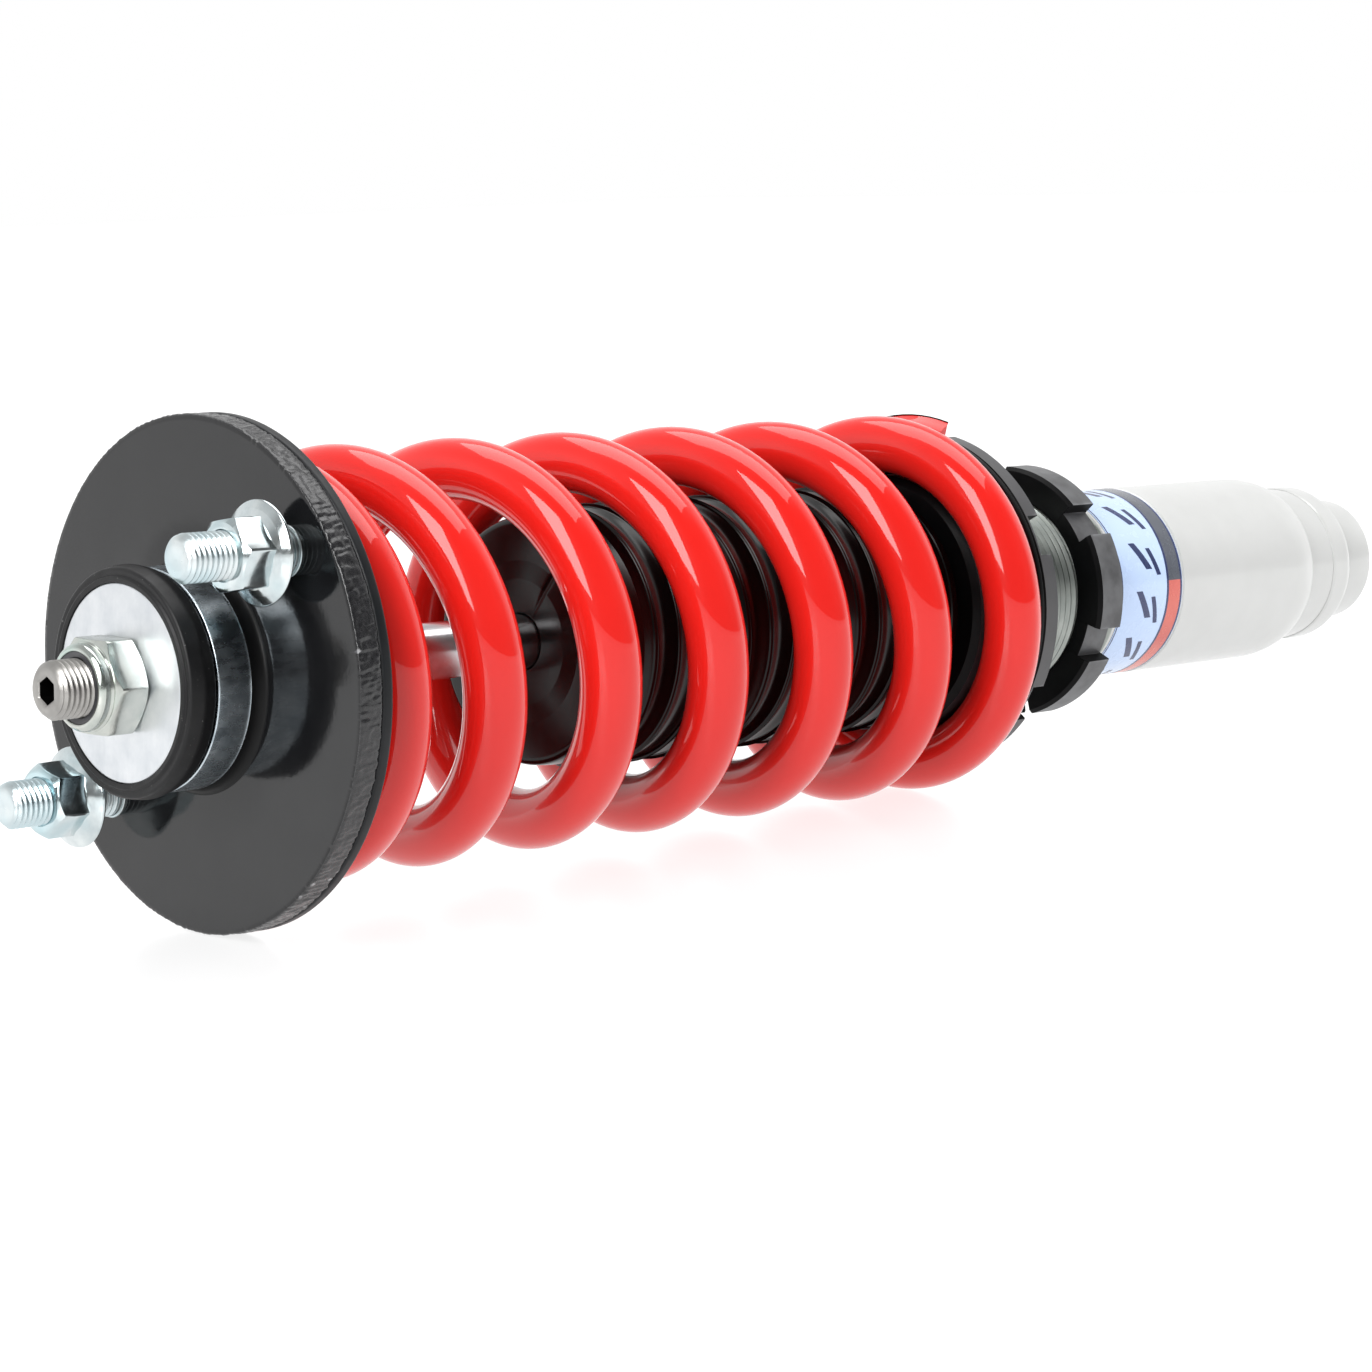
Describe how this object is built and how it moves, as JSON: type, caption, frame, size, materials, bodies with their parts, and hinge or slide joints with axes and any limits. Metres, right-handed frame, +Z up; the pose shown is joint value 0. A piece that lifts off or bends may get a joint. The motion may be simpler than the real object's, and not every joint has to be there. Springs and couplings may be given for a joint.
{
  "type": "coilover",
  "caption": "Coilover with a threaded monotube damper, a coil spring with closed ends, a studded top mount, a dust boot, a spring perch and a lock ring.",
  "frame": {"origin": "centre of the top plate's outer face, where the plate meets the car, on the damper's axis", "axes": "+X along the damper's axis, from the top plate to the lower spigot; +Z up, as the part lies on its side; +Y completes the frame"},
  "size_m": [0.4234, 0.107, 0.107],
  "materials": {
    "gloss_black": "gloss black powder coat",
    "black_anodised": "satin black anodised aluminium",
    "zinc": "bright zinc plate",
    "rod_steel": "turned steel",
    "rod_chrome": "hard chrome",
    "spring_red": "gloss red powder coat",
    "rubber": "moulded black rubber",
    "isolator_rubber": "smooth dark grey rubber",
    "boot_plastic": "satin black thermoplastic",
    "foam": "cellular polyurethane",
    "silver_paint": "satin silver paint",
    "aluminium": "turned aluminium",
    "nylon": "nylon",
    "band": "bronze filled PTFE",
    "label": "printed film"
  },
  "bodies": {
    "top_mount": {"top_plate": "gloss_black", "bushing_housing": "gloss_black", "upper_bushing": "rubber", "lower_bushing": "rubber", "bushing_sleeve": "rod_steel", "upper_washer": "zinc", "lower_washer": "zinc", "rod_nut": "zinc", "rod_nut_insert": "nylon", "mount_studs": "zinc", "stud_nuts": "zinc", "spring_isolator": "isolator_rubber", "coil_spring": "spring_red", "piston_rod": "rod_chrome", "rebound_bumper": "rubber", "piston": "rod_steel", "piston_band": "band", "compression_shims": "rod_steel", "rebound_shims": "rod_steel", "piston_nut": "rod_steel"},
    "boot_and_stop": {"bump_stop": "foam", "dust_boot": "boot_plastic"},
    "damper_body": {"body_tube": "silver_paint", "lower_cap": "silver_paint", "fill_plug": "zinc", "gland_nut": "rod_steel", "rod_wiper": "rubber", "rod_guide": "aluminium", "rod_seal": "rubber", "guide_oring": "rubber", "label_band": "label"},
    "gas_piston": {"floating_piston": "aluminium", "floating_oring": "rubber"},
    "spring_seat": {"seat_washer": "black_anodised"},
    "perch": {"spring_perch": "black_anodised"},
    "ring": {"lock_ring": "black_anodised"}
  },
  "joints": [
    {"name": "damper_stroke", "type": "slide", "parent": "top_mount", "child": "boot_and_stop", "axis": [-1, 0, 0], "range_m": [0, 0.065], "stiffness_N_per_m": 60000, "deforming": ["coil_spring"]},
    {"name": "body_turn", "type": "hinge", "parent": "boot_and_stop", "child": "damper_body", "pos_m": [0.15, 0, 0], "axis": [1, 0, 0], "continuous": true},
    {"name": "gas_piston_travel", "type": "slide", "parent": "damper_body", "child": "gas_piston", "axis": [1, 0, 0], "range_m": [0, 0.006]},
    {"name": "perch_travel", "type": "slide", "parent": "damper_body", "child": "spring_seat", "axis": [1, 0, 0], "range_m": [0, 0.0098]},
    {"name": "perch_turn", "type": "hinge", "parent": "spring_seat", "child": "perch", "pos_m": [0.221, 0, 0], "axis": [1, 0, 0], "range_deg": [0, 1764]},
    {"name": "lock_ring_turn", "type": "hinge", "parent": "spring_seat", "child": "ring", "pos_m": [0.256, 0, 0], "axis": [1, 0, 0], "range_deg": [0, 1764]}
  ],
  "couplings": [
    {"joint": "gas_piston_travel", "follows": "damper_stroke", "ratio": 0.08858},
    {"joint": "perch_travel", "follows": "perch_turn", "m_per_rad": 0.00031831},
    {"joint": "lock_ring_turn", "follows": "perch_turn", "ratio": 1}
  ]
}
